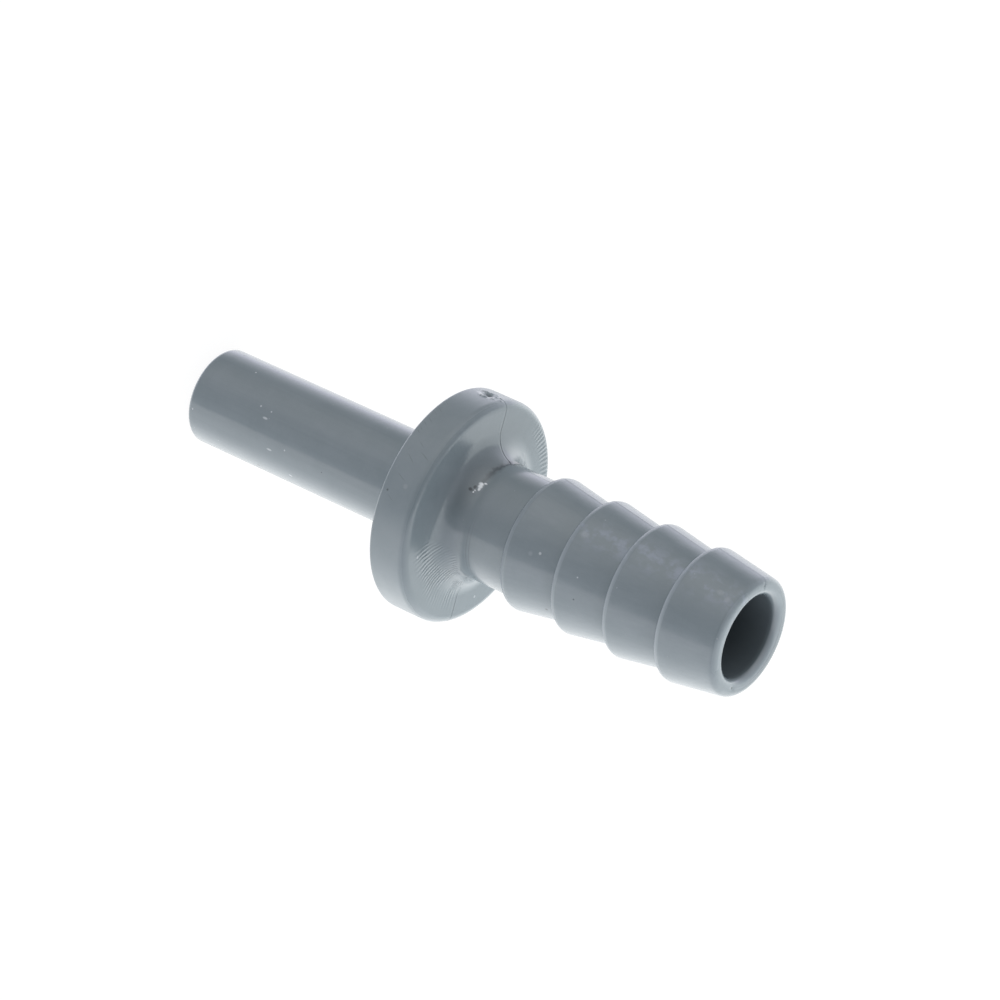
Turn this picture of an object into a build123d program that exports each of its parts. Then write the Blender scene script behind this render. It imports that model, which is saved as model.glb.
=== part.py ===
from build123d import *
from math import radians, tan
import os

os.makedirs("parts", exist_ok=True)

# A straight hose connector, turned about +Z.
# The stem's end face lies on z = 0 and the barbed end points up.
# All sizes are in millimetres.

# Stem: plain spigot for a quarter-inch tube socket.
stem_diameter = 6.35
stem_length = 18.5
stem_end_round = 0.32

# Collar: wide stop between the stem and the barbs.
collar_diameter = 14.8
collar_thickness = 2.8
collar_back_round = 0.2
collar_front_round = 0.55

# Neck: plain length between the collar and the first ridge.
neck_diameter = 7.66
neck_length = 4.86
neck_fillet = 1.75

# Barbs: cones that grow towards the collar, each with a square back face.
# A cone starts at the neck's radius and rises by the ridge height.
# Ridge height is taken where cone and back face would meet if left sharp.
barb_count = 4
barb_pitch = 3.9
ridge_height = 0.645
ridge_round = 0.52
end_barb_length = 4.3
end_round = 0.5

# Bore: wide under the barbs, narrow through the stem, set by the walls.
barb_wall = 1.08
barb_bore_lip = 0.5
stem_wall = 1.05
stem_bore_lip = 0.25
narrowing_angle = 30.0
narrowing_above_collar_back = 2.0

# Gate mark: shallow round pit in the collar's rim, on the mould's parting plane.
gate_diameter = 1.1
gate_depth = 0.12

# Heights along the part.
collar_back_z = stem_length
collar_front_z = collar_back_z + collar_thickness
first_ridge_z = collar_front_z + neck_length
last_ridge_z = first_ridge_z + (barb_count - 1) * barb_pitch
top_z = last_ridge_z + end_barb_length

# Radii that follow from the sizes above.
stem_radius = stem_diameter / 2
collar_radius = collar_diameter / 2
neck_radius = neck_diameter / 2
ridge_radius = neck_radius + ridge_height
barb_bore_radius = neck_radius - barb_wall
stem_bore_radius = stem_radius - stem_wall

# A ridge's round has to fit on its back face.
ridge_nose = min(ridge_round, 0.82 * ridge_height)

# The mouth's inner and outer rounds have to fit side by side on its wall.
mouth_lip = min(barb_bore_lip, 0.95 * (barb_wall - end_round))

# The bore narrows in a cone that ends inside the collar.
narrowing_top_z = collar_back_z + narrowing_above_collar_back
narrowing_height = (barb_bore_radius - stem_bore_radius) / tan(radians(narrowing_angle))
narrowing_bottom_z = narrowing_top_z - narrowing_height

# Half section with sharp corners: radius along X, height along Y.
ridges = [(ridge_radius, first_ridge_z + n * barb_pitch) for n in range(barb_count)]
outline = [
    (stem_radius, 0),
    (stem_radius, collar_back_z),
    (collar_radius, collar_back_z),
    (collar_radius, collar_front_z),
    (neck_radius, collar_front_z),
    (neck_radius, first_ridge_z),
    ridges[0],
]
for radius, height in ridges[1:]:
    outline.append((neck_radius, height))
    outline.append((radius, height))
outline += [
    (neck_radius, top_z),
    (barb_bore_radius, top_z),
    (barb_bore_radius, narrowing_top_z),
    (stem_bore_radius, narrowing_bottom_z),
    (stem_bore_radius, 0),
]
section = make_face(Polyline(*outline, close=True))

# Each rounded corner with its radius.
rounds = [
    ((stem_radius, 0), stem_end_round),
    ((collar_radius, collar_back_z), collar_back_round),
    ((collar_radius, collar_front_z), collar_front_round),
    ((neck_radius, collar_front_z), neck_fillet),
    ((neck_radius, top_z), end_round),
    ((barb_bore_radius, top_z), mouth_lip),
    ((stem_bore_radius, 0), stem_bore_lip),
]
rounds += [(ridge, ridge_nose) for ridge in ridges]
for corner, radius in rounds:
    nearest = section.vertices().sort_by_distance((*corner, 0))[0]
    section = fillet(nearest, radius)

connector = revolve(Plane.XZ * section, Axis.Z)

# The gate mark is cut square to the rim, on the -X side, midway along its flat.
rim_low_z = collar_back_z + collar_back_round
rim_high_z = collar_front_z - collar_front_round
gate_z = (rim_low_z + rim_high_z) / 2
gate_floor = Location((-(collar_radius - gate_depth), 0, gate_z), (0, -90, 0))
gate_pit = gate_floor * Cylinder(
    gate_diameter / 2,
    1,
    align=(Align.CENTER, Align.CENTER, Align.MIN),
)
connector = connector - gate_pit

export_step(connector, "parts/connector.step")
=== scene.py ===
import math

import bpy
import numpy as np
from mathutils import Matrix, Vector


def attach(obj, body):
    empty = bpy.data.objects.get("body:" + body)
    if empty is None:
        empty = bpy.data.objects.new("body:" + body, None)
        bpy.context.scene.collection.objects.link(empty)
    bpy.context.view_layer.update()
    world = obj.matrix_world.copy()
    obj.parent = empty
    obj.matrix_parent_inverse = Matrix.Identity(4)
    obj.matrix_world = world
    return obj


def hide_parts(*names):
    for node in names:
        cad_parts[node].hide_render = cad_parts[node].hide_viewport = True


# %% [markdown]
# A grey plastic connector joins a push-in tube fitting to a rubber hose.
# One end is a plain round stem, the other a hose barb with four ridges, and a
# wide collar lies between them.
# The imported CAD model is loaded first, because it fixes the size and the place
# of everything that follows. All lengths in this lesson are metres, and `MM`
# turns the maker's millimetres into them.

# %% Load the frame
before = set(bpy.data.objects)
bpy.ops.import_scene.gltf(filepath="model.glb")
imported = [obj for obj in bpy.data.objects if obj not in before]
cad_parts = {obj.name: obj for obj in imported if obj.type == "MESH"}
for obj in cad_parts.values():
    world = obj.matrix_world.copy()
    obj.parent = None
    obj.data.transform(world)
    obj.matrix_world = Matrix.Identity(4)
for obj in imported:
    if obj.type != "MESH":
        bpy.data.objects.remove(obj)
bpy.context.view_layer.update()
MM = 0.001

# %% [markdown]
# The real part is injection moulded in a mould whose core and cavities are
# turned on a lathe. Half of its lengthwise section says nearly everything
# about it, so the section comes first, as a closed line of (radius, height)
# corners. Each corner carries the radius that rounds it off.

# %% Radii and heights of the section
STEM_R = 3.175 * MM
COLLAR_R = 7.4 * MM
NECK_R = 3.83 * MM
RIDGE_R = NECK_R + 0.645 * MM
BARB_BORE_R = NECK_R - 1.08 * MM
STEM_BORE_R = STEM_R - 1.05 * MM

COLLAR_BACK = 18.5 * MM
COLLAR_FRONT = COLLAR_BACK + 2.8 * MM
FIRST_RIDGE = COLLAR_FRONT + 4.86 * MM
BARBS = 4
PITCH = 3.9 * MM
LAST_RIDGE = FIRST_RIDGE + (BARBS - 1) * PITCH
TOP = LAST_RIDGE + 4.3 * MM
NARROW_TOP = COLLAR_BACK + 2.0 * MM
NARROW_LOW = NARROW_TOP - (BARB_BORE_R - STEM_BORE_R) / math.tan(math.radians(30))
print("height in mm:", round(TOP / MM, 2))

# %% Corners of the section
STEM_END_ROUND = 0.32 * MM
COLLAR_BACK_ROUND = 0.2 * MM
COLLAR_FRONT_ROUND = 0.55 * MM
NECK_ROUND = 1.75 * MM
RIDGE_ROUND = 0.52 * MM
MOUTH_ROUND = 0.5 * MM
STEM_BORE_ROUND = 0.25 * MM

corners = [
    (STEM_R, 0, STEM_END_ROUND),
    (STEM_R, COLLAR_BACK, 0),
    (COLLAR_R, COLLAR_BACK, COLLAR_BACK_ROUND),
    (COLLAR_R, COLLAR_FRONT, COLLAR_FRONT_ROUND),
    (NECK_R, COLLAR_FRONT, NECK_ROUND),
]
for n in range(BARBS):
    ridge_z = FIRST_RIDGE + n * PITCH
    corners += [(NECK_R, ridge_z, 0), (RIDGE_R, ridge_z, RIDGE_ROUND)]
corners += [
    (NECK_R, TOP, MOUTH_ROUND),
    (BARB_BORE_R, TOP, MOUTH_ROUND),
    (BARB_BORE_R, NARROW_TOP, 0),
    (STEM_BORE_R, NARROW_LOW, 0),
    (STEM_BORE_R, 0, STEM_BORE_ROUND),
]
print("section corners:", len(corners))

# %% [markdown]
# A round is drawn as an arc that touches both sides of its corner. The arc's
# centre lies on the line that halves the angle. Straight runs get extra points
# where fine marks will be pressed into them later, and few where they stay
# plain, so the mesh is dense only where it has to be.


# %% Rounded and divided section
def rounded(before, corner, after, radius, steps):
    """Points of the arc that rounds one corner."""
    a = (before - corner).normalized()
    b = (after - corner).normalized()
    half = a.angle(b) / 2
    centre = corner + (a + b).normalized() * (radius / math.sin(half))
    start = corner + a * (radius / math.tan(half)) - centre
    end = corner + b * (radius / math.tan(half)) - centre
    turn = start.angle_signed(end)
    points = []
    for k in range(steps + 1):
        angle = -turn * k / steps
        c, s = math.cos(angle), math.sin(angle)
        swung = Vector((c * start.x - s * start.y, s * start.x + c * start.y))
        points.append(centre + swung)
    return points


def arc_steps(radius):
    """How many steps an arc is divided into: more where the round is wide."""
    if radius > 1 * MM:
        return 30
    if radius > 0.33 * MM:
        return 10
    return 6


def spacing(radius, height):
    """Distance between points on a straight run at this place."""
    on_collar = COLLAR_BACK + 0.1 * MM < height < COLLAR_FRONT + 0.05 * MM
    if on_collar and radius > STEM_R + 0.3 * MM:
        return 0.07 * MM
    if radius < BARB_BORE_R + 0.01 * MM:
        return 1.5 * MM
    if height < COLLAR_BACK:
        return 0.8 * MM
    return 0.3 * MM


def section_points():
    """The whole closed section as a list of (radius, height) points."""
    sharp = [Vector(c[:2]) for c in corners]
    line = []
    for k, (r, z, radius) in enumerate(corners):
        if radius:
            after = sharp[(k + 1) % len(sharp)]
            line += rounded(sharp[k - 1], sharp[k], after, radius, arc_steps(radius))
        else:
            line.append(sharp[k])
    points = []
    for k, here in enumerate(line):
        there = line[(k + 1) % len(line)]
        middle = (here + there) / 2
        pieces = max(1, round((there - here).length / spacing(middle.x, middle.y)))
        points += [here.lerp(there, n / pieces) for n in range(pieces)]
    return points


section = section_points()
print("section points:", len(section))

# %% [markdown]
# Everything from here on is made of nodes, so two small classes come first.
# `Wire` stands for one output of a node. Python's own signs work on it, and
# each of them adds a Math node, so a formula can be written as a formula.
# `Bench` belongs to one node tree and adds any other node: its type, then its
# settings, then a value or a wire for each of its sockets.


# %% Wires and bench
class Wire:
    """One output socket that understands + - * / and a few functions."""

    def __init__(self, bench, socket):
        self.bench = bench
        self.socket = socket

    def maths(self, operation, *values):
        """A Math node that works on these values, in this order."""
        sockets = dict(enumerate(values))
        return self.bench.add("ShaderNodeMath", {"operation": operation}, sockets)

    def __add__(self, other):
        return self.maths("ADD", self, other)

    def __sub__(self, other):
        return self.maths("SUBTRACT", self, other)

    def __rsub__(self, other):
        return self.maths("SUBTRACT", other, self)

    def __mul__(self, other):
        return self.maths("MULTIPLY", self, other)

    def __truediv__(self, other):
        return self.maths("DIVIDE", self, other)

    def __rtruediv__(self, other):
        return self.maths("DIVIDE", other, self)

    def __mod__(self, other):
        return self.maths("MODULO", self, other)

    def __pow__(self, other):
        return self.maths("POWER", self, other)

    __radd__ = __add__
    __rmul__ = __mul__

    def of(self, operation):
        """A Math node with this one value, such as SINE or ABSOLUTE."""
        return self.maths(operation, self)

    def rise(self, low, high):
        """A soft step from 0 at low to 1 at high, or the other way round."""
        settings = {"interpolation_type": "SMOOTHSTEP"}
        sockets = {"Value": self, "From Min": low, "From Max": high}
        return self.bench.add("ShaderNodeMapRange", settings, sockets)

    def near(self, centre, width):
        """A bump of height 1 at centre that falls off like a bell."""
        return ((((self - centre) / width) ** 2.0) * -1.0).of("EXPONENT")


class Bench:
    """Adds nodes to one tree and wires them."""

    def __init__(self, tree):
        self.tree = tree

    def add(self, kind, settings=None, sockets=None, out=0):
        """Add a node, set it up, fill its sockets and return one of its outputs."""
        made = self.tree.nodes.new(kind)
        for name, value in (settings or {}).items():
            setattr(made, name, value)
        for name, value in (sockets or {}).items():
            if isinstance(value, Wire):
                self.tree.links.new(value.socket, made.inputs[name])
            else:
                made.inputs[name].default_value = value
        return Wire(self, made.outputs[out])


print("wires and bench are ready")

# %% [markdown]
# The section is turned into the body with Geometry Nodes. A flat grid has one
# column for each step of the turn and one row for each point of the section.
# Every grid point looks up its section point by row, and is swung round the
# axis by its column. Then the two pairs of grid edges meet and are merged, and
# the body is closed without a seam or a pole. A Screw modifier would also turn
# the section, but its steps are all alike. Here they are crowded towards the
# plane y = 0, where the two halves of the mould met and left a fine line that
# needs close points.


# %% Tree that turns a section
def turning_tree():
    """A tree that turns the section in its input geometry round the Z axis."""
    tree = bpy.data.node_groups.new("turn_section", "GeometryNodeTree")
    for name, kind in (
        ("Section", "Geometry"),
        ("Section Points", "Int"),
        ("Turn Steps", "Int"),
        ("Crowding", "Float"),
        ("Finish", "Material"),
    ):
        tree.interface.new_socket(name, in_out="INPUT", socket_type="NodeSocket" + kind)
    tree.interface.new_socket("Body", in_out="OUTPUT", socket_type="NodeSocketGeometry")
    bench = Bench(tree)
    given = tree.nodes.new("NodeGroupInput").outputs
    line, points, steps, crowding, finish = (Wire(bench, given[k]) for k in range(5))

    sizes = {"Size X": 1.0, "Size Y": 1.0, "Vertices X": steps + 1, "Vertices Y": points + 1}
    grid = bench.add("GeometryNodeMeshGrid", None, sizes)
    position = bench.add("GeometryNodeInputPosition")
    across = bench.add("ShaderNodeSeparateXYZ", None, {0: position}, "X") + 0.5
    along = bench.add("ShaderNodeSeparateXYZ", None, {0: position}, "Y") + 0.5
    row = (along * points).of("ROUND") % points
    sockets = {"Geometry": line, "Value": position, "Index": row}
    point = bench.add("GeometryNodeSampleIndex", {"data_type": "FLOAT_VECTOR"}, sockets)
    radius = bench.add("ShaderNodeSeparateXYZ", None, {0: point}, "X")
    height = bench.add("ShaderNodeSeparateXYZ", None, {0: point}, "Z")

    even = across * (2 * math.pi)
    turn = even - (even * 2.0).of("SINE") * crowding / 2.0
    sockets = {"X": radius * turn.of("COSINE"), "Y": radius * turn.of("SINE"), "Z": height}
    swung = bench.add("ShaderNodeCombineXYZ", None, sockets)
    body = bench.add("GeometryNodeSetPosition", None, {"Geometry": grid, "Position": swung})
    body = bench.add("GeometryNodeMergeByDistance", None, {"Geometry": body, "Distance": 1e-6})
    body = bench.add("GeometryNodeRealizeInstances", None, {"Geometry": body})
    body = bench.add("GeometryNodeSetMaterial", None, {"Geometry": body, "Material": finish})
    result = tree.nodes.new("NodeGroupOutput")
    tree.links.new(body.socket, result.inputs["Body"])
    return tree


turn_tree = turning_tree()
print("turning tree:", len(turn_tree.nodes), "nodes")

# %% [markdown]
# The tree works on an object that holds only the section's points. Its inputs
# are set by their identifiers before the object is first evaluated. The result
# is kept as a plain mesh, and the object with the modifier is thrown away.

# %% Turn the section
acetal = bpy.data.materials.new("grey_acetal")


def turned(name, points, steps, crowding, finish):
    """A plain mesh made by turning the section's points."""
    line = bpy.data.meshes.new(name + "_section")
    line.from_pydata([(p.x, 0, p.y) for p in points], [], [])
    draft = bpy.data.objects.new(name + "_draft", line)
    bpy.context.scene.collection.objects.link(draft)
    modifier = draft.modifiers.new("turn", "NODES")
    modifier.node_group = turn_tree
    values = {
        "Section Points": len(points),
        "Turn Steps": steps,
        "Crowding": crowding,
        "Finish": finish,
    }
    for item in turn_tree.interface.items_tree:
        if item.name in values:
            modifier[item.identifier] = values[item.name]
    bpy.context.view_layer.update()
    graph = bpy.context.evaluated_depsgraph_get()
    mesh = bpy.data.meshes.new_from_object(draft.evaluated_get(graph))
    mesh.name = name
    bpy.data.objects.remove(draft)
    return mesh


TURN_STEPS = 336
CROWDING = 0.66
body_mesh = turned("moulded_connector", section, TURN_STEPS, CROWDING, acetal)
print("points:", len(body_mesh.vertices), "faces:", len(body_mesh.polygons))


# %% Turn the faces outwards
def volume_of(mesh):
    """Volume inside a closed mesh, negative where its faces point inwards."""
    mesh.calc_loop_triangles()
    corners_of = np.empty(len(mesh.loop_triangles) * 3, dtype=np.int64)
    mesh.loop_triangles.foreach_get("vertices", corners_of)
    at = np.empty(len(mesh.vertices) * 3)
    mesh.vertices.foreach_get("co", at)
    a, b, c = at.reshape(-1, 3)[corners_of.reshape(-1, 3)].transpose(1, 0, 2)
    return float(np.einsum("ij,ij->i", a, np.cross(b, c)).sum() / 6)


if volume_of(body_mesh) < 0:
    body_mesh.flip_normals()
print("volume in cubic mm:", round(volume_of(body_mesh) / MM**3, 1))

# %% [markdown]
# A moulded part is never quite the drawing. The sprue was torn off the rim and
# left a small pit with a ragged edge. The two mould halves left a thin line in
# the plane y = 0. The round between collar and neck ends in a fine crease,
# deepest at that line, there is a small swelling on the round, and the mouth
# has a nick on each side. These are real shapes, so the mesh's own points are
# moved along their normals. All sizes in this cell are millimetres. The gate's
# pit is less than 0.2 deep, and the other marks are under a tenth.

# %% Press the mould's marks into the mesh
count = len(body_mesh.vertices)
at = np.empty(count * 3)
body_mesh.vertices.foreach_get("co", at)
at = at.reshape(count, 3)
normals = np.array([tuple(v.normal) for v in body_mesh.vertices])
x, y, z = at.T / MM
radius = np.hypot(x, y)
angle = np.arctan2(y, x)
rise_mm = np.zeros(count)


def bell(value, centre, width):
    """1 at the centre, falling off to 0 over about two widths."""
    return np.exp(-(((value - centre) / width) ** 2))


def between(value, low, high, soft):
    """1 from low to high, with soft shoulders."""
    return 1 / (1 + np.exp(-(value - low) / soft)) / (1 + np.exp((value - high) / soft))


# the torn gate, on the rim's -X side
GATE_Z = 19.88
GATE_Y = -0.16
RIM_R = 7.4
along = z - GATE_Z
across = np.arctan2(y, -x) * RIM_R - GATE_Y
reach = np.hypot(along, across * 0.9)
around = np.arctan2(across, along)
rim = radius > 7.25
ragged = 0.55 + 0.25 * np.sin(3 * around + 0.6) + 0.2 * np.sin(5 * around + 2.1)
ragged = ragged + 0.2 * np.sin(8 * around)
gate = -0.17 * bell(reach, 0, 0.3) + 0.075 * ragged * bell(reach, 0.5, 0.14)
crumbs = [
    (-0.62, 0.2, 0.1, 0.05),
    (-0.2, -0.62, 0.09, 0.06),
    (0.55, -0.42, 0.12, 0.05),
    (0.74, 0.25, 0.08, 0.05),
    (0.1, 0.7, 0.1, 0.04),
    (1.0, -0.1, 0.07, 0.04),
]
for u, v, size, height in crumbs:
    gate += height * bell(np.hypot(along - u, across - v), 0, size)
rise_mm += gate * rim

# the line of the mould halves: a hair of flash beside a hair-fine step
collar_part = between(z, 20.45, 23.2, 0.05) * (radius > 3.8)
barb_part = between(z, 23.4, 42.0, 0.2) * (radius > 3.7)
front = (x < 0) * collar_part
back = (x > 0) * between(radius, 4.9, 7.5, 0.12) * collar_part
hair = 0.008 * bell(y, 0.06, 0.05) - 0.014 * bell(y, -0.03, 0.04)
rise_mm += hair * (front + back) + 0.012 * bell(y, 0, 0.07) * barb_part

# the crease round the foot of the neck
towards_line = np.abs(np.cos(angle)) ** 6
crease_z = 22.64 + 0.05 * np.sin(angle * 11.0) + 0.03 * np.sin(angle * 29.0)
crease_width = 0.07 + 0.05 * towards_line
rise_mm -= 0.05 * towards_line * bell(z, crease_z, crease_width) * (radius > 3.7)
near_foot = bell(angle, math.radians(-72), 0.35) * (radius > 3.7)
rise_mm -= 0.005 * near_foot * (bell(z, 23.1, 0.05) + bell(z, 23.34, 0.05))

# a small swelling on the round, and two nicks in the mouth
swelling = bell(angle, math.radians(140), 0.06) * bell(radius, 4.7, 0.25)
rise_mm += 0.05 * swelling * (z > 21.2) * (z < 23)
mouth = z > 41.5
rise_mm -= 0.05 * mouth * bell(y, -0.2, 0.07) * (x < 0) * bell(radius, 3.45, 0.17)
rise_mm -= 0.05 * mouth * bell(y, -0.62, 0.2) * (x > 0) * bell(radius, 3.2, 0.1)

at += normals * rise_mm[:, None] * MM
body_mesh.vertices.foreach_set("co", at.ravel())
body_mesh.update()
print("marks from", round(rise_mm.min(), 3), "to", round(rise_mm.max(), 3), "mm")

# %% [markdown]
# Smooth shading hides the facets, while true corners stay sharp: the step
# behind every ridge, the collar's back and the throat inside the bore.

# %% Shade the body and place it
body_mesh.shade_smooth()
body_mesh.set_sharp_from_angle(angle=math.radians(40))
connector = bpy.data.objects.new("moulded_connector", body_mesh)
bpy.context.scene.collection.objects.link(connector)
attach(connector, "root")
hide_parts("connector")
print("connector placed,", len(connector.data.loop_triangles), "triangles")

# %% [markdown]
# The plastic is acetal, grey with a little blue, and semi-gloss straight from
# the mould. Its finish has five layers: a slow unevenness that makes
# reflections wander, a fine grain, the flow lines that run out over the
# collar's face, lengthwise wiping marks, and single specks and scuffs. Colour
# follows the same places: the specks are pale, the line of the mould is drawn
# a little darker, and the whole surface is faintly mottled.

# %% Places on the body as wires
acetal.use_nodes = True
acetal.node_tree.nodes.clear()
bench = Bench(acetal.node_tree)
here = bench.add("ShaderNodeTexCoord", None, None, "Object")
in_mm = bench.add("ShaderNodeVectorMath", {"operation": "SCALE"}, {0: here, "Scale": 1000.0})
px = bench.add("ShaderNodeSeparateXYZ", None, {0: in_mm}, "X")
py = bench.add("ShaderNodeSeparateXYZ", None, {0: in_mm}, "Y")
pz = bench.add("ShaderNodeSeparateXYZ", None, {0: in_mm}, "Z")
pr = (px * px + py * py).of("SQRT")
turn_deg = py.maths("ARCTAN2", py, px) * (180 / math.pi)


def noise(scale, detail=2.0, roughness=0.5, vector=in_mm):
    """Noise with about `scale` features in each millimetre."""
    sockets = {"Vector": vector, "Scale": scale, "Detail": detail, "Roughness": roughness}
    return bench.add("ShaderNodeTexNoise", None, sockets, "Fac")


def spot(azimuth, r, height, size, length=1.0, lean=0.0):
    """A soft mask round one place; length stretches it along Z, lean tips it in degrees."""
    a = math.radians(azimuth)
    turned_to = Vector((math.cos(a), math.sin(a), 0)) * r
    place = Vector((turned_to.x, turned_to.y, height))
    sockets = {
        "Vector": in_mm,
        "Location": place,
        "Rotation": (math.radians(lean), 0, a),
        "Scale": (max(size, 0.1), size, size * length),
    }
    local = bench.add("ShaderNodeMapping", {"vector_type": "TEXTURE"}, sockets)
    far = bench.add("ShaderNodeVectorMath", {"operation": "LENGTH"}, {0: local}, "Value")
    return far.rise(1.0, 0.35)


print("surface coordinates are ready")

# %% [markdown]
# The relief comes first, as one height in millimetres. A Bump node turns it
# into tilted normals. The flow lines curl away from the neck and fan out over
# part of the collar's face, and a coarser comb of them lies at its edge.

# %% Relief
skin = pr.rise(2.9, 3.05)
on_stem = pz.rise(18.6, 18.4)
on_rim = pr.rise(7.2, 7.38) * skin
on_face = pz.rise(21.0, 21.25) * pz.rise(23.4, 22.9) * pr.rise(3.86, 4.0)
on_barbs = pz.rise(25.6, 26.4) * skin

waviness = noise(0.8, 1.0) - 0.5
dimples = noise(2.6, 2.0, 0.6) - 0.5
grain = noise(11.0, 3.0, 0.65) - 0.5
relief = waviness * (on_stem * -0.004 + on_barbs * 0.006 + 0.006)
relief = relief + dimples * (on_barbs * 0.0055 + 0.0006) + grain * 0.0005

FAN_LINES = 120.0
COMB_LINES = 124.0
warp = noise(0.45, 2.0) * 13.0
bend = ((pr - 4.0) / -0.6).of("EXPONENT") * 22.0
turn_rad = turn_deg * (math.pi / 180)
fan = (turn_rad * FAN_LINES + warp + bend).of("SINE")
comb = (turn_rad * COMB_LINES + warp * 0.4 + pr * 1.5).of("SINE")
patchy = noise(0.75, 1.0).rise(0.38, 0.56)
low_fan = turn_deg.rise(-80.0, -60.0) * turn_deg.rise(8.0, -14.0) * pr.rise(6.8, 5.0)
edge_fan = turn_deg.rise(52.0, 72.0) * turn_deg.rise(152.0, 130.0) * pr.rise(6.0, 6.5)
near_fan = turn_deg.rise(-75.0, -95.0) * 0.04
relief = relief + fan * on_face * (low_fan + near_fan) * (patchy * 0.011 + 0.004)
relief = relief + comb * on_face * edge_fan * 0.013

sockets = {0: in_mm, 1: (3.0, 3.0, 0.06)}
wiped = bench.add("ShaderNodeVectorMath", {"operation": "MULTIPLY"}, sockets)
wiping = noise(1.0, 3.0, 0.6, wiped) - 0.5
relief = relief + wiping * (on_stem * 0.0016 + on_barbs * 0.0015)
print("relief wired")

# %% [markdown]
# Specks are placed one by one, because a real part's scuffs are not spread
# evenly. Each has an azimuth round the axis in degrees, then a radius, a
# height and a size in millimetres, and how much longer it is along the axis.
# The strokes on the rim also lean by some degrees. A fine scatter of much
# smaller dust is added by Voronoi cells.

# %% Specks and scuffs
pale_spots = [
    (-116.9, 3.175, 5.34, 0.09, 1.0),
    (-106.3, 3.175, 6.02, 0.10, 2.6),
    (-115.8, 3.175, 6.24, 0.07, 1.2),
    (-154.1, 3.175, 3.32, 0.08, 1.0),
    (-73.4, 3.175, 6.90, 0.09, 3.0),
    (-81.0, 3.175, 8.12, 0.08, 1.0),
    (-48.4, 3.175, 8.52, 0.10, 2.0),
    (-79.9, 3.175, 0.45, 0.08, 1.0),
    (-99.6, 4.05, 28.72, 0.12, 1.0),
    (-94.7, 4.19, 31.80, 0.07, 1.0),
    (-67.3, 6.06, 21.30, 0.12, 1.0),
    (19.7, 6.15, 21.30, 0.12, 1.0),
    (-129.7, 7.38, 18.56, 0.12, 1.0),
]
white_spots = [
    (-129.6, 3.865, 22.70, 0.17, 0.8),
    (-132.4, 3.875, 22.66, 0.21, 1.0),
    (-135.0, 3.885, 22.62, 0.18, 1.3),
    (-137.4, 3.84, 22.82, 0.10, 1.6),
    (-126.6, 3.91, 22.52, 0.08, 1.0),
    (-124.6, 3.92, 22.50, 0.08, 1.0),
]
faint_spots = [
    (-129.4, 4.32, 30.99, 0.30, 1.3),
    (-131.6, 3.94, 41.44, 0.28, 1.0),
    (-134.3, 4.03, 40.82, 0.25, 1.4),
    (-96.4, 4.15, 28.14, 0.20, 1.0),
    (-105.9, 7.40, 20.11, 0.22, 1.0),
]
strokes = [
    (-109.2, 7.4, 19.58, 0.035, 15.0, -23),
    (-119.1, 7.4, 19.55, 0.035, 16.0, -34),
    (-122.6, 7.4, 20.37, 0.035, 15.0, -23),
    (-127.4, 7.4, 19.70, 0.03, 13.0, -30),
    (-133.0, 7.4, 18.92, 0.03, 7.0, -32),
    (-135.0, 7.4, 18.95, 0.03, 6.0, -32),
    (-138.4, 7.4, 18.93, 0.03, 8.0, -32),
    (-141.0, 7.4, 19.10, 0.03, 12.0, -32),
    (-146.2, 7.4, 18.95, 0.03, 8.0, -32),
    (-149.0, 7.4, 19.05, 0.03, 9.0, -32),
    (-155.0, 7.4, 18.95, 0.03, 8.0, -32),
    (-98.0, 7.4, 19.40, 0.03, 12.0, -28),
]
dark_spots = [
    (-129.5, 3.96, 22.42, 0.17, 0.8),
    (-125.6, 4.02, 22.28, 0.16, 1.2),
    (-37.3, 3.175, 5.64, 0.10, 1.6),
    (-75.1, 3.175, 11.2, 0.06, 1.0),
    (-74.9, 4.18, 31.86, 0.08, 1.0),
    (-43.2, 3.93, 29.43, 0.13, 1.2),
    (-101.0, 7.40, 19.00, 0.10, 1.0),
    (178.8, 3.175, 3.46, 0.09, 1.0),
    (-177.2, 3.175, 1.25, 0.09, 1.5),
    (-11.6, 3.2, 42.16, 0.14, 1.0),
    (-176.1, 3.45, 42.14, 0.10, 1.0),
]


def together(places):
    """One mask for a list of places."""
    mask = None
    for place in places:
        one = spot(*place)
        mask = one if mask is None else mask.maths("MAXIMUM", mask, one)
    return mask


pale = together(pale_spots)
white = together(white_spots)
faint = together(faint_spots)
dark = together(dark_spots)
struck = together(strokes)
sockets = {"Vector": in_mm, "Scale": 0.9}
cells = bench.add("ShaderNodeTexVoronoi", {"feature": "F1"}, sockets, "Distance")
dust = cells.rise(0.05, 0.03) * noise(0.3, 0.0).rise(0.5, 0.6)
relief = relief + white * 0.036 + dust * 0.006 - struck * 0.006
every_list = (pale_spots, white_spots, faint_spots, dark_spots)
print("spots:", sum(map(len, every_list)), "strokes:", len(strokes))

# %% [markdown]
# The colour starts as a mid grey that leans to blue and is faintly mottled. A
# patchy, pale painted sheen lies along one side of the barbs, fine streaks run
# lengthwise, and painted highlights make the crests of the ridges and the lip paler.

# %% Colour of the plastic
GREY = (0.170, 0.207, 0.225, 1)
PALER_GREY = (0.182, 0.219, 0.238, 1)
FINE_GREY = (0.190, 0.226, 0.242, 1)
SHEEN = (0.25, 0.288, 0.352, 1)
STREAK = (0.15, 0.185, 0.205, 1)
CREST_HIGHLIGHT = (0.42, 0.46, 0.51, 1)
LIP_HIGHLIGHT = (0.4, 0.45, 0.48, 1)


def blend(first, second, amount):
    """The first colour, with the second mixed in by this amount."""
    settings = {"data_type": "RGBA", "blend_type": "MIX"}
    return bench.add("ShaderNodeMix", settings, {0: amount, 6: first, 7: second}, 2)


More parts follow.
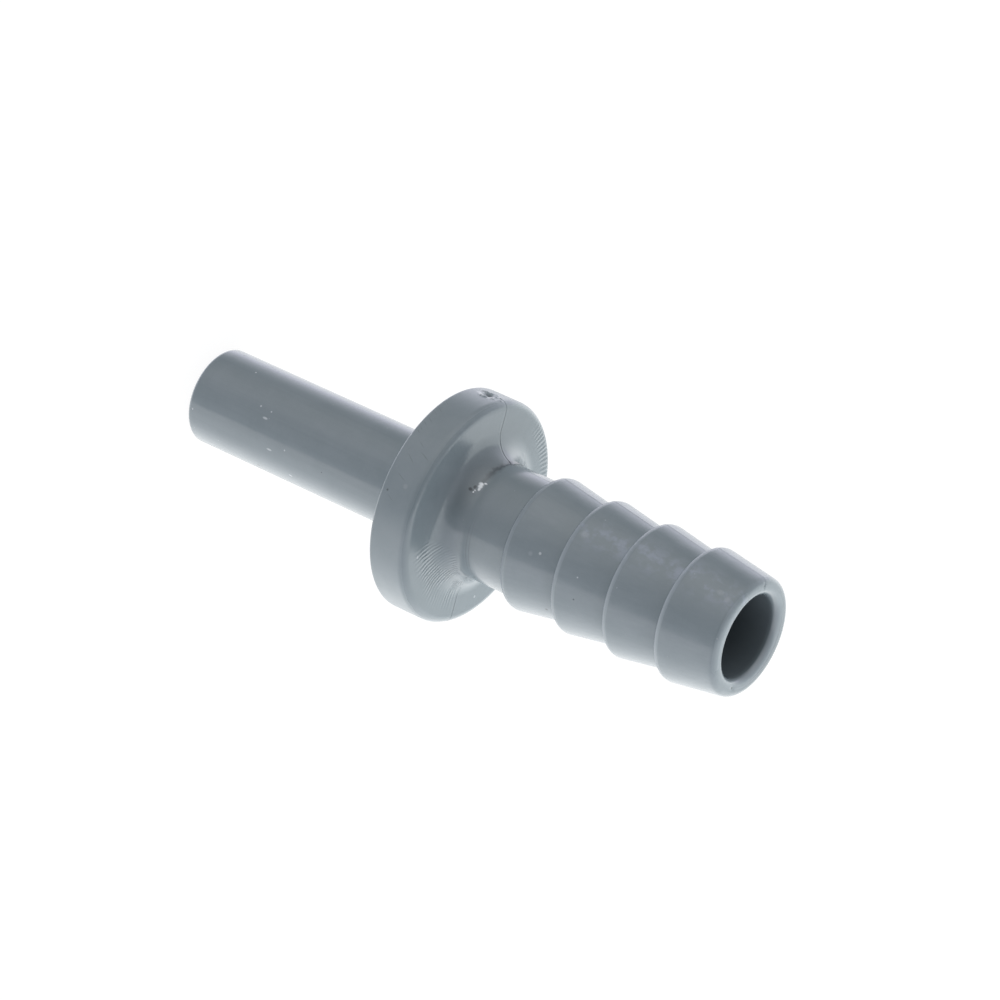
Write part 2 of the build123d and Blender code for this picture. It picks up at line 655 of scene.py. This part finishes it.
mottle = noise(0.5, 3.0, 0.6).rise(0.35, 0.65)
fine_mottle = noise(5.0, 2.0).rise(0.3, 0.7)
colour = blend(GREY, PALER_GREY, mottle)
colour = blend(colour, FINE_GREY, fine_mottle * 0.25)
# painted sheen: a patchy pale band along one side of the barbs
painted_sheen = turn_deg.near(-136.0, 11.0) * noise(1.0, 3.0, 0.65).rise(0.44, 0.66)
painted_sheen = painted_sheen * pz.rise(29.5, 30.5) * skin
colour = blend(colour, SHEEN, painted_sheen * 0.75)
streaks = (wiping + 0.1).rise(0.0, 0.3) * (on_barbs + on_stem)
colour = blend(colour, STREAK, streaks * 0.28)
# painted highlight: the ridges' crests are drawn paler
painted_crest_highlight = ((pz - FIRST_RIDGE / MM) % (PITCH / MM)).near(0.16, 0.24)
painted_crest_highlight = painted_crest_highlight * pr.rise(4.2, 4.3) * pz.rise(25.5, 26.0)
colour = blend(colour, CREST_HIGHLIGHT, painted_crest_highlight * 0.33)
# painted highlight: the lip's near edge and the inner round of its far side are drawn paler
painted_lip_highlight = pz.rise(41.78, 42.08) * pr.rise(3.2, 3.4) * turn_deg.near(-105.0, 40.0)
painted_inner_lip_highlight = pz.rise(41.66, 41.8) * pr.rise(3.36, 3.2) * turn_deg.near(62.0, 75.0)
colour = blend(colour, LIP_HIGHLIGHT, painted_lip_highlight * 0.28 + painted_inner_lip_highlight * 0.5)
print("plastic coloured")

# %% [markdown]
# Painted shade darkens the gate's pit, the crease, two fine rings and the
# round at the neck's foot, the bore and a groove in the lip, and a painted
# reflection lays darker rings on the stem by the collar. The mould line is
# drawn darker, and so are the dark specks and the strokes on the rim. They
# add up to one mask that stops at 1. Pale scuffs and the bare white nick lie
# over it.

# %% Dirt, painted shade and scuffs
SHADE_AND_DIRT = (0.045, 0.055, 0.062, 1)
SCUFF = (0.5, 0.53, 0.55, 1)
BARE = (0.74, 0.78, 0.8, 1)

# the mould line over the collar's face, then over the barbs
off_line = py.of("ABSOLUTE")
line = off_line.rise(0.1, 0.03) * pz.rise(20.5, 20.8) * pz.rise(23.1, 22.9) * pr.rise(3.8, 3.95)
gate_half = px.rise(0.1, -0.1) * pr.rise(7.3, 6.7)
far_half = px.rise(0.1, 0.3) * pr.rise(5.1, 5.4)
line = line * (gate_half + far_half) * 0.2
barb_line = off_line.rise(0.09, 0.03) * px.rise(0.1, -0.1) * pz.rise(26.2, 26.5)
line = line + barb_line * pz.rise(38.0, 36.0) * skin * 0.25

# the gate: painted shade in the pit, with torn, paler plastic round it
sockets = {0: in_mm, 1: (-7.35, GATE_Y, GATE_Z)}
gate_at = bench.add("ShaderNodeVectorMath", {"operation": "DISTANCE"}, sockets, "Value")
painted_pit_shade = gate_at.rise(0.36, 0.16) * 0.7
torn = gate_at.rise(0.3, 0.5) * gate_at.rise(0.95, 0.6) * noise(3.2, 2.0).rise(0.5, 0.6) * 0.6

# the foot of the neck: painted shade in the crease, along two fine rings and over the round
ragged_z = pz + (noise(2.2, 2.0) - 0.5) * 0.5
near_line = (px * px / 15.0).rise(0.3, 0.9)
on_gate_side = px.rise(1.0, -1.0) * 0.4 + 0.25
painted_crease_shade = ragged_z.near(22.64, 0.17) * skin * near_line * on_gate_side
painted_neck_ring_shade = (pz.near(23.3, 0.035) + pz.near(23.52, 0.035)) * turn_deg.near(-68.0, 26.0) * skin * 0.2
painted_fillet_shade = pz.near(22.1, 0.6) * pr.rise(3.7, 3.8) * turn_deg.near(-122.0, 24.0) * 0.28
painted_fillet_shade = painted_fillet_shade + pz.near(22.2, 0.7) * pr.rise(3.7, 3.8) * px.rise(-2.6, -3.8) * 0.16

# painted shade in the bore and in the groove in the lip, and a painted reflection of the collar
# as darker rings on the stem
painted_bore_shade = pr.rise(2.95, 2.8) * pz.rise(41.9, 41.4) * 0.5
painted_lip_groove_shade = pr.near(3.19, 0.09) * 0.5 + pr.rise(3.26, 3.34) * 0.25
painted_lip_ring_shade = painted_lip_groove_shade * pz.rise(41.7, 41.9) * turn_deg.near(62.0, 60.0)
# painted reflection: darker rings on the stem where the collar is mirrored
painted_stem_reflection = (pz * 20.0).of("SINE").rise(0.0, 1.0) * pz.rise(16.7, 17.3) * on_stem * 0.14

# painted shade and reflection, with the darker mould line, specks and strokes, in one mask
dirt_and_shade = line + painted_pit_shade + painted_crease_shade + painted_neck_ring_shade + painted_stem_reflection + painted_fillet_shade + painted_bore_shade + painted_lip_ring_shade
dirt_and_shade = dirt_and_shade + dark * 0.7 + struck * 0.28
dirt_and_shade = dirt_and_shade.maths("MINIMUM", dirt_and_shade, 1.0)
colour = blend(colour, SHADE_AND_DIRT, dirt_and_shade)
colour = blend(colour, SCUFF, pale * 0.6 + torn + dust * 0.25 + faint * 0.12)
colour = blend(colour, BARE, white)
print("dirt and scuffs laid over it")

# %% [markdown]
# Roughness ends the material. The rim and the barbs are a little duller than
# the rest, and so are the scuffs, the white nick and the painted highlights on the crests and
# the lip.

# %% Roughness and shader
roughness = noise(1.3, 2.0) * 0.06 + 0.16 + on_rim * 0.12 + on_barbs * 0.04
roughness = roughness + (pale + white) * 0.2 + painted_crest_highlight * 0.35 + painted_lip_highlight * 0.15
sockets = {"Strength": 1.0, "Distance": MM, "Height": relief}
bumped = bench.add("ShaderNodeBump", None, sockets, "Normal")
shader = bench.add(
    "ShaderNodeBsdfPrincipled",
    None,
    {"Base Color": colour, "Roughness": roughness, "IOR": 1.48, "Normal": bumped},
    "BSDF",
)
ending = acetal.node_tree.nodes.new("ShaderNodeOutputMaterial")
acetal.node_tree.links.new(shader.socket, ending.inputs["Surface"])
print("acetal:", len(acetal.node_tree.nodes), "nodes")

# %% [markdown]
# In the studio the part lay on a bright white table, with a pale wall behind
# it, dimmer walls at its sides, a soft light and a small lamp overhead, and a
# dark room round the camera. A shiny barrel shows all of that as bands along
# its length, so the world has the same parts. Each is a soft patch of sky,
# found from how far a ray points up, back or right in the room. The walls and
# parts of the table are tinted a little violet, and the table's right side a
# little teal. The part itself stands upright in this scene, so `UP` in
# the room is nearly the part's -X side, and the table's light comes from +X.

# %% Light
UP = Vector((-0.916, -0.40, -0.005)).normalized()
BACK = Vector((-0.312, 0.723, -0.617)).normalized()
RIGHT = Vector((-0.250, 0.564, 0.787)).normalized()
LAMP = Vector((-0.910, -0.345, 0)).normalized()
WHITE = (1, 1, 1, 1)
VIOLET = (1.02, 1, 1.15, 1)
TEAL = (0.96, 1, 1.01, 1)

studio = bpy.data.worlds.new("studio")
bpy.context.scene.world = studio
studio.use_nodes = True
studio.node_tree.nodes.clear()
sky = Bench(studio.node_tree)
way = sky.add("ShaderNodeTexCoord", None, None, "Generated")


def towards(direction):
    """How far a ray points this way, from -1 to 1."""
    sockets = {0: way, 1: tuple(direction)}
    return sky.add("ShaderNodeVectorMath", {"operation": "DOT_PRODUCT"}, sockets, "Value")


up, back, right = towards(UP), towards(BACK), towards(RIGHT)
steep = sky.add("ShaderNodeSeparateXYZ", None, {0: way}, "Z")
table = up.rise(0.012, -0.012)
wall = back.rise(0.1, 0.9) * up.rise(0.75, 0.05)
sides = right.of("ABSOLUTE").rise(0.2, 0.9)
lamp = towards(LAMP).rise(0.90, 0.945) * steep.rise(-0.36, -0.26) * steep.rise(0.3, 0.1)
overhead = up.rise(0.5, 1.0)
room = wall * 1.9 + overhead * 1.2 + sides * 0.6 + lamp * 0.6
far_table = back.rise(0.3, 0.9) * up.rise(-0.65, 0.05)
near_table = back.rise(-0.3, -0.85) * 0.4
top = up.rise(-0.55, -1.0) * 1.15 + right.rise(-0.1, -0.9) * 1.1
top = top + right.rise(0.1, 0.9) * 1.25 + far_table * 1.05 + near_table + 0.9
strength = table * top + (1 - table) * room
settings = {"data_type": "RGBA"}
violet = (wall + sides * 0.5) * (1 - table) + far_table * table * 0.5 + near_table
tint = sky.add("ShaderNodeMix", settings, {0: violet, 6: WHITE, 7: VIOLET}, 2)
teal = table * right.rise(0.1, 0.9)
tint = sky.add("ShaderNodeMix", settings, {0: teal, 6: tint, 7: TEAL}, 2)
lit = sky.add("ShaderNodeBackground", None, {"Color": tint, "Strength": strength})
blank = sky.add("ShaderNodeBackground", None, {"Color": WHITE, "Strength": 1.0})
seen = sky.add("ShaderNodeLightPath", None, None, "Is Camera Ray")
both = sky.add("ShaderNodeMixShader", None, {0: seen, 1: lit, 2: blank})
ending = studio.node_tree.nodes.new("ShaderNodeOutputWorld")
studio.node_tree.links.new(both.socket, ending.inputs["Surface"])
print("studio light:", len(studio.node_tree.nodes), "nodes")

# %% [markdown]
# The floor is plain and pale. Most of its white is its own, and the rest is
# the studio's light, so the foot still leaves a soft shadow on it.

# %% Floor
paper = bpy.data.materials.new("floor_paper")
paper.use_nodes = True
paper.node_tree.nodes.clear()
sheet = Bench(paper.node_tree)
own = sheet.add("ShaderNodeEmission", None, {"Color": WHITE, "Strength": 0.93})
matt = sheet.add("ShaderNodeBsdfDiffuse", None, {"Color": (0.1, 0.1, 0.1, 1)})
mixed = sheet.add("ShaderNodeAddShader", None, {0: own, 1: matt})
ending = paper.node_tree.nodes.new("ShaderNodeOutputMaterial")
paper.node_tree.links.new(mixed.socket, ending.inputs["Surface"])

HALF = 0.6
corners_xy = [(-HALF, -HALF, 0), (HALF, -HALF, 0), (HALF, HALF, 0), (-HALF, HALF, 0)]
floor_mesh = bpy.data.meshes.new("floor")
floor_mesh.from_pydata(corners_xy, [], [(0, 1, 2, 3)])
floor_mesh.materials.append(paper)
floor = bpy.data.objects.new("floor", floor_mesh)
bpy.context.scene.collection.objects.link(floor)
floor.visible_diffuse = False
floor.visible_glossy = False
floor.visible_shadow = False
print("floor", 2 * HALF, "m wide")

# %% [markdown]
# The camera looks down at the part from its barbed end, rolled so that the
# upright part seems to lie aslant. A long lens keeps the perspective flat.

# %% Camera
lens = bpy.data.cameras.new("camera")
lens.sensor_width = 36
lens.lens = 173.81
lens.clip_start = 0.01
lens.clip_end = 10
camera = bpy.data.objects.new("camera", lens)
bpy.context.scene.collection.objects.link(camera)
stand = Vector((-0.08246, -0.24559, 0.17283))
aim = Vector((-0.00139, 0.00005, 0.0225))
level = (aim - stand).to_track_quat("-Z", "Y").to_matrix().to_4x4()
roll = Matrix.Rotation(math.radians(114.494), 4, "Z")
camera.matrix_world = Matrix.Translation(stand) @ level @ roll
bpy.context.scene.camera = camera
bpy.context.scene.view_settings.view_transform = "Standard"
print("camera at", [round(v, 4) for v in camera.location])
